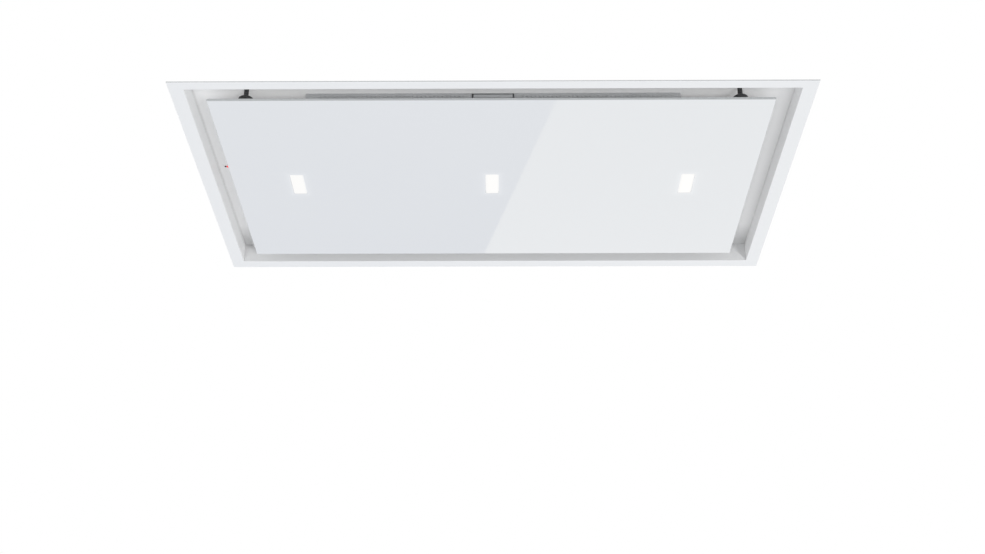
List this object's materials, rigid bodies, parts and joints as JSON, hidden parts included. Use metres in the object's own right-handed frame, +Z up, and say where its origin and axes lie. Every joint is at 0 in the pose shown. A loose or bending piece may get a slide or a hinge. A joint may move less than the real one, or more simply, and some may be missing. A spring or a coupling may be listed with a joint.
{
  "type": "ceiling range hood",
  "caption": "Flush ceiling range hood: white flange and recess, drop-down white glass panel with lit windows, perimeter intake, grease filter and a ducted blower box above the ceiling",
  "frame": {"origin": "centre of the recess's opening, in the ceiling plane that the flange's upper face lies against", "axes": "+X along the long side, -Y the panel's latch side, +Y its hinge side and the duct, +Z up into the ceiling"},
  "size_m": [0.9, 0.6184, 0.2252],
  "materials": {
    "white_paint": "smooth white powder coat",
    "galvanised": "galvanised sheet with a fine spangle",
    "zinc_screw": "zinc-plated fasteners",
    "white_glass": "white back-painted glass, polished",
    "led_white": "lit white diffuser",
    "black_plastic": "black moulded plastic, fine texture",
    "grey_plastic": "grey moulded plastic",
    "filter_metal": "satin aluminium",
    "blower_plastic": "dark grey moulded plastic",
    "motor_steel": "plated motor steel",
    "winding": "varnished copper winding and core",
    "bush_rubber": "black rubber",
    "circuit_board": "green circuit board",
    "terminal_white": "white nylon",
    "capacitor_shell": "pale plastic can",
    "receiver_black": "dark infrared window",
    "status_red": "lit red lens"
  },
  "bodies": {
    "housing": {"trim_frame": "white_paint", "recess_pan": "white_paint", "front_wall": "galvanised", "rear_wall": "galvanised", "left_wall": "galvanised", "right_wall": "galvanised", "top_cover": "galvanised", "corner_rivets": "zinc_screw", "cover_screws": "zinc_screw", "hanger_brackets": "galvanised", "front_rail": "galvanised", "rear_rail": "galvanised", "scroll_base": "blower_plastic", "scroll_wall": "blower_plastic", "scroll_top": "blower_plastic", "inlet_ring": "blower_plastic", "motor_mount": "galvanised", "motor_bushes": "bush_rubber", "motor_screws": "zinc_screw", "motor_can": "motor_steel", "motor_end_cap": "motor_steel", "motor_bearings": "motor_steel", "stator_core": "winding", "outlet_plate": "black_plastic", "outlet_spigot": "black_plastic", "collar_screws": "zinc_screw", "damper_pin": "motor_steel", "damper_spring": "motor_steel", "control_box": "grey_plastic", "control_lid": "grey_plastic", "control_board": "circuit_board", "terminal_block": "terminal_white", "cable_gland": "black_plastic", "led_driver": "grey_plastic", "run_capacitor": "capacitor_shell", "remote_receiver": "receiver_black", "status_lamp": "status_red", "latch_sockets": "black_plastic", "hinge_brackets": "motor_steel", "bracket_screws": "zinc_screw"},
    "panel": {"glass_panel": "white_glass", "panel_carrier": "white_paint", "led_lenses": "led_white", "lamp_housings": "grey_plastic", "led_boards": "circuit_board", "latch_studs": "black_plastic", "hinge_leaves": "motor_steel", "hinge_pins": "motor_steel"},
    "filter": {"filter_frame": "filter_metal", "filter_face": "filter_metal", "filter_mesh": "filter_metal", "latch_guide": "filter_metal", "latch_springs": "motor_steel"},
    "latch_slider": {"filter_latch": "filter_metal"},
    "rotor": {"impeller": "blower_plastic", "hub_nut": "zinc_screw", "rotor_core": "motor_steel", "motor_shaft": "motor_steel"},
    "flap_left": {"damper_flap_left": "black_plastic"},
    "flap_right": {"damper_flap_right": "black_plastic"}
  },
  "joints": [
    {"name": "panel_hinge", "type": "hinge", "parent": "housing", "child": "panel", "pos_m": [0, 0.228, 0.014], "axis": [1, 0, 0], "range_deg": [0, 85]},
    {"name": "filter_tilt", "type": "hinge", "parent": "housing", "child": "filter", "pos_m": [0, 0.20875, 0.0297], "axis": [1, 0, 0], "range_deg": [0, 1.7]},
    {"name": "filter_latch_slide", "type": "slide", "parent": "filter", "child": "latch_slider", "axis": [0, 1, 0], "range_m": [0, 0.005], "stiffness_N_per_m": 500, "springref_m": -0.003, "deforming": ["latch_springs"]},
    {"name": "impeller_spin", "type": "hinge", "parent": "housing", "child": "rotor", "pos_m": [-0.085, 0.008, 0], "axis": [0, 0, 1], "continuous": true},
    {"name": "flap_left_swing", "type": "hinge", "parent": "housing", "child": "flap_left", "pos_m": [0, 0.2857, 0.1207], "axis": [0, 0, -1], "range_deg": [0, 75], "stiffness_Nm_per_rad": 0.02, "springref_deg": -17.19},
    {"name": "flap_right_swing", "type": "hinge", "parent": "housing", "child": "flap_right", "pos_m": [0, 0.2857, 0.1207], "axis": [0, 0, 1], "range_deg": [0, 75], "stiffness_Nm_per_rad": 0.02, "springref_deg": -17.19}
  ]
}
